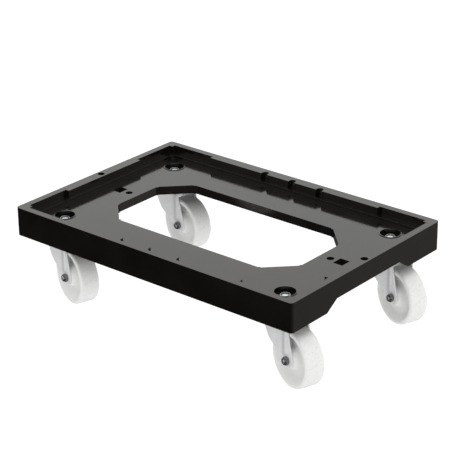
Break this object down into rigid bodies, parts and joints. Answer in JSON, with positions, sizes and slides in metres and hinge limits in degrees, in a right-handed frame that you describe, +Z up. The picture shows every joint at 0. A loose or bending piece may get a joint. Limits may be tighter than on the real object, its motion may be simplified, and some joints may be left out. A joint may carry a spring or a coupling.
{
  "type": "container dolly",
  "caption": "Open-centre moulded deck with a raised rim, on swivel castors with solid wheels, for rolling a stacking container or plant tub.",
  "frame": {"origin": "centre of the overall footprint on the floor, with the castors turned as at rest", "axes": "+X along the deck's length, +Y across its width, +Z up"},
  "size_m": [0.6416, 0.412, 0.17],
  "materials": {
    "deck": "black moulded plastic, half gloss",
    "bolt_zinc": "zinc plated steel",
    "fork_zinc": "bright zinc plated pressed steel",
    "nut_dark": "dark plated steel",
    "ball_steel": "hardened steel balls, greased",
    "insert": "nylon locking ring",
    "wheel_nylon": "white nylon, satin"
  },
  "bodies": {
    "deck": {"deck_tray": "deck", "castor_bolts": "bolt_zinc", "kingpins": "bolt_zinc", "top_cups": "bolt_zinc", "lower_cups": "bolt_zinc", "upper_balls": "ball_steel", "lower_balls": "ball_steel", "mount_washers": "bolt_zinc", "mount_nuts": "bolt_zinc", "nut_inserts": "insert"},
    "castor_fl": {"fork_fl": "fork_zinc", "axle_bolt_fl": "bolt_zinc", "axle_sleeve_fl": "bolt_zinc", "axle_nut_fl": "nut_dark"},
    "wheel_fl": {"wheel_fl": "wheel_nylon"},
    "castor_bl": {"fork_bl": "fork_zinc", "axle_bolt_bl": "bolt_zinc", "axle_sleeve_bl": "bolt_zinc", "axle_nut_bl": "nut_dark"},
    "wheel_bl": {"wheel_bl": "wheel_nylon"},
    "castor_fr": {"fork_fr": "fork_zinc", "axle_bolt_fr": "bolt_zinc", "axle_sleeve_fr": "bolt_zinc", "axle_nut_fr": "nut_dark"},
    "wheel_fr": {"wheel_fr": "wheel_nylon"},
    "castor_br": {"fork_br": "fork_zinc", "axle_bolt_br": "bolt_zinc", "axle_sleeve_br": "bolt_zinc", "axle_nut_br": "nut_dark"},
    "wheel_br": {"wheel_br": "wheel_nylon"}
  },
  "joints": [
    {"name": "swivel_fl", "type": "hinge", "parent": "deck", "child": "castor_fl", "pos_m": [-0.26084, -0.146, 0.1135], "axis": [0, 0, 1], "continuous": true},
    {"name": "roll_fl", "type": "hinge", "parent": "castor_fl", "child": "wheel_fl", "pos_m": [-0.22423, -0.1579, 0.05], "axis": [0.309, 0.9511, 0], "continuous": true},
    {"name": "swivel_bl", "type": "hinge", "parent": "deck", "child": "castor_bl", "pos_m": [-0.26084, 0.146, 0.1135], "axis": [0, 0, 1], "continuous": true},
    {"name": "roll_bl", "type": "hinge", "parent": "castor_bl", "child": "wheel_bl", "pos_m": [-0.22312, 0.13832, 0.05], "axis": [0.1994, 0.9799, 0], "continuous": true},
    {"name": "swivel_fr", "type": "hinge", "parent": "deck", "child": "castor_fr", "pos_m": [0.23216, -0.146, 0.1135], "axis": [0, 0, 1], "continuous": true},
    {"name": "roll_fr", "type": "hinge", "parent": "castor_fr", "child": "wheel_fr", "pos_m": [0.26877, -0.1579, 0.05], "axis": [0.309, 0.9511, 0], "continuous": true},
    {"name": "swivel_br", "type": "hinge", "parent": "deck", "child": "castor_br", "pos_m": [0.23216, 0.146, 0.1135], "axis": [0, 0, 1], "continuous": true},
    {"name": "roll_br", "type": "hinge", "parent": "castor_br", "child": "wheel_br", "pos_m": [0.26856, 0.13347, 0.05], "axis": [0.3256, 0.9455, 0], "continuous": true}
  ]
}
